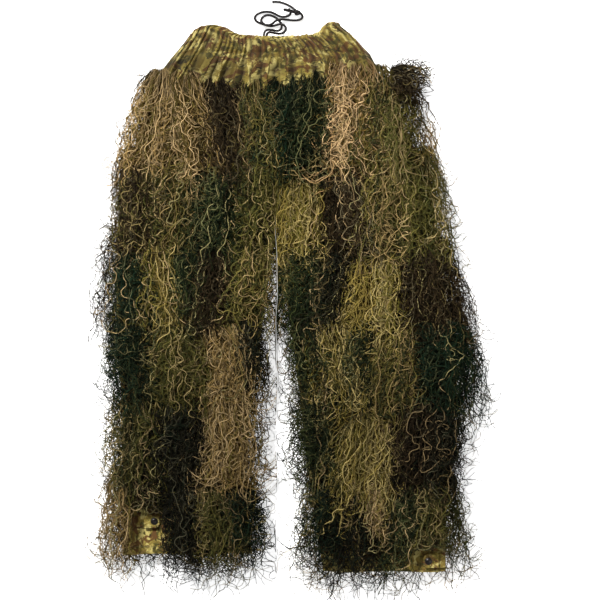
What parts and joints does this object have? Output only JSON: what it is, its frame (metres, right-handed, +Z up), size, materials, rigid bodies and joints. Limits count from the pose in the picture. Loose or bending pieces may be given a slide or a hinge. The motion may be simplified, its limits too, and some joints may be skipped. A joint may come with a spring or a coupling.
{
  "type": "ghillie trousers",
  "caption": "Camouflage trousers for wearing over clothes, covered in rows of shaggy yarn tufts, with a gathered elastic waist, a drawstring and snapped ankle tabs.",
  "frame": {"origin": "under the middle of the trousers' box as they lie flat on their back, at the height of the surface they lie on, without the free ends of the drawstring", "axes": "+X towards the wearer's left leg, +Y from the leg openings to the waist, +Z up, out of the front of the trousers"},
  "size_m": [0.738, 1.1251, 0.0862],
  "materials": {
    "camouflage_cloth": "matte",
    "yarn": "matte",
    "cord": "satin",
    "elastic": "matte",
    "thread": "satin",
    "snap_metal": "satin"
  },
  "bodies": {
    "left_thigh": {"back_tufts_left_row_3": "yarn", "front_tufts_left_row_3": "yarn", "left_thigh_back_panel": "camouflage_cloth", "left_thigh_bar_tacks": "thread", "left_thigh_front_panel": "camouflage_cloth"},
    "left_shin": {"back_tufts_left_row_4": "yarn", "back_tufts_left_row_5": "yarn", "back_tufts_left_row_6": "yarn", "front_tufts_left_row_4": "yarn", "front_tufts_left_row_5": "yarn", "front_tufts_left_row_6": "yarn", "left_hem_facing": "camouflage_cloth", "left_shin_back_panel": "camouflage_cloth", "left_shin_bar_tacks": "thread", "left_shin_front_panel": "camouflage_cloth", "left_snap_backing": "snap_metal", "left_snap_stud": "snap_metal", "left_tab_sewn_end": "camouflage_cloth"},
    "right_thigh": {"back_tufts_right_row_3": "yarn", "front_tufts_right_row_3": "yarn", "right_thigh_back_panel": "camouflage_cloth", "right_thigh_bar_tacks": "thread", "right_thigh_front_panel": "camouflage_cloth"},
    "right_shin": {"back_tufts_right_row_4": "yarn", "back_tufts_right_row_5": "yarn", "back_tufts_right_row_6": "yarn", "front_tufts_right_row_4": "yarn", "front_tufts_right_row_5": "yarn", "front_tufts_right_row_6": "yarn", "right_hem_facing": "camouflage_cloth", "right_shin_back_panel": "camouflage_cloth", "right_shin_bar_tacks": "thread", "right_shin_front_panel": "camouflage_cloth", "right_snap_backing": "snap_metal", "right_snap_stud": "snap_metal", "right_tab_sewn_end": "camouflage_cloth"},
    "seat": {"back_tufts_row_1": "yarn", "back_tufts_row_2": "yarn", "drawstring_buttonhole": "thread", "drawstring_in_channel": "cord", "drawstring_knot": "cord", "drawstring_left_end": "cord", "drawstring_right_end": "cord", "drawstring_tips": "cord", "front_tufts_row_1": "yarn", "front_tufts_row_2": "yarn", "seat_back_panel": "camouflage_cloth", "seat_bar_tacks": "thread", "seat_front_panel": "camouflage_cloth", "waist_casing_back": "camouflage_cloth", "waist_casing_front": "camouflage_cloth", "waist_elastic": "elastic"},
    "left_tab": {"left_ankle_tab": "camouflage_cloth", "left_snap_cap": "snap_metal", "left_snap_socket": "snap_metal"},
    "right_tab": {"right_ankle_tab": "camouflage_cloth", "right_snap_cap": "snap_metal", "right_snap_socket": "snap_metal"}
  },
  "joints": [
    {"name": "right_hip_fold", "type": "hinge", "parent": "seat", "child": "right_thigh", "pos_m": [-0.186, 0.135, 0.026], "axis": [-1, 0, 0], "range_deg": [0, 90]},
    {"name": "right_knee_fold", "type": "hinge", "parent": "right_thigh", "child": "right_shin", "pos_m": [-0.197, -0.005, 0.026], "axis": [1, 0, 0], "range_deg": [-75, 90]},
    {"name": "right_tab_fold", "type": "hinge", "parent": "right_shin", "child": "right_tab", "pos_m": [-0.286, -0.408, 0.04], "axis": [0, -1, 0], "range_deg": [0, 90]},
    {"name": "left_hip_fold", "type": "hinge", "parent": "seat", "child": "left_thigh", "pos_m": [0.12, 0.135, 0.026], "axis": [-1, 0, 0], "range_deg": [0, 90]},
    {"name": "left_knee_fold", "type": "hinge", "parent": "left_thigh", "child": "left_shin", "pos_m": [0.14, -0.005, 0.026], "axis": [1, 0, 0], "range_deg": [-75, 90]},
    {"name": "left_tab_fold", "type": "hinge", "parent": "left_shin", "child": "left_tab", "pos_m": [0.276, -0.484, 0.04], "axis": [0, 1, 0], "range_deg": [0, 90]}
  ]
}
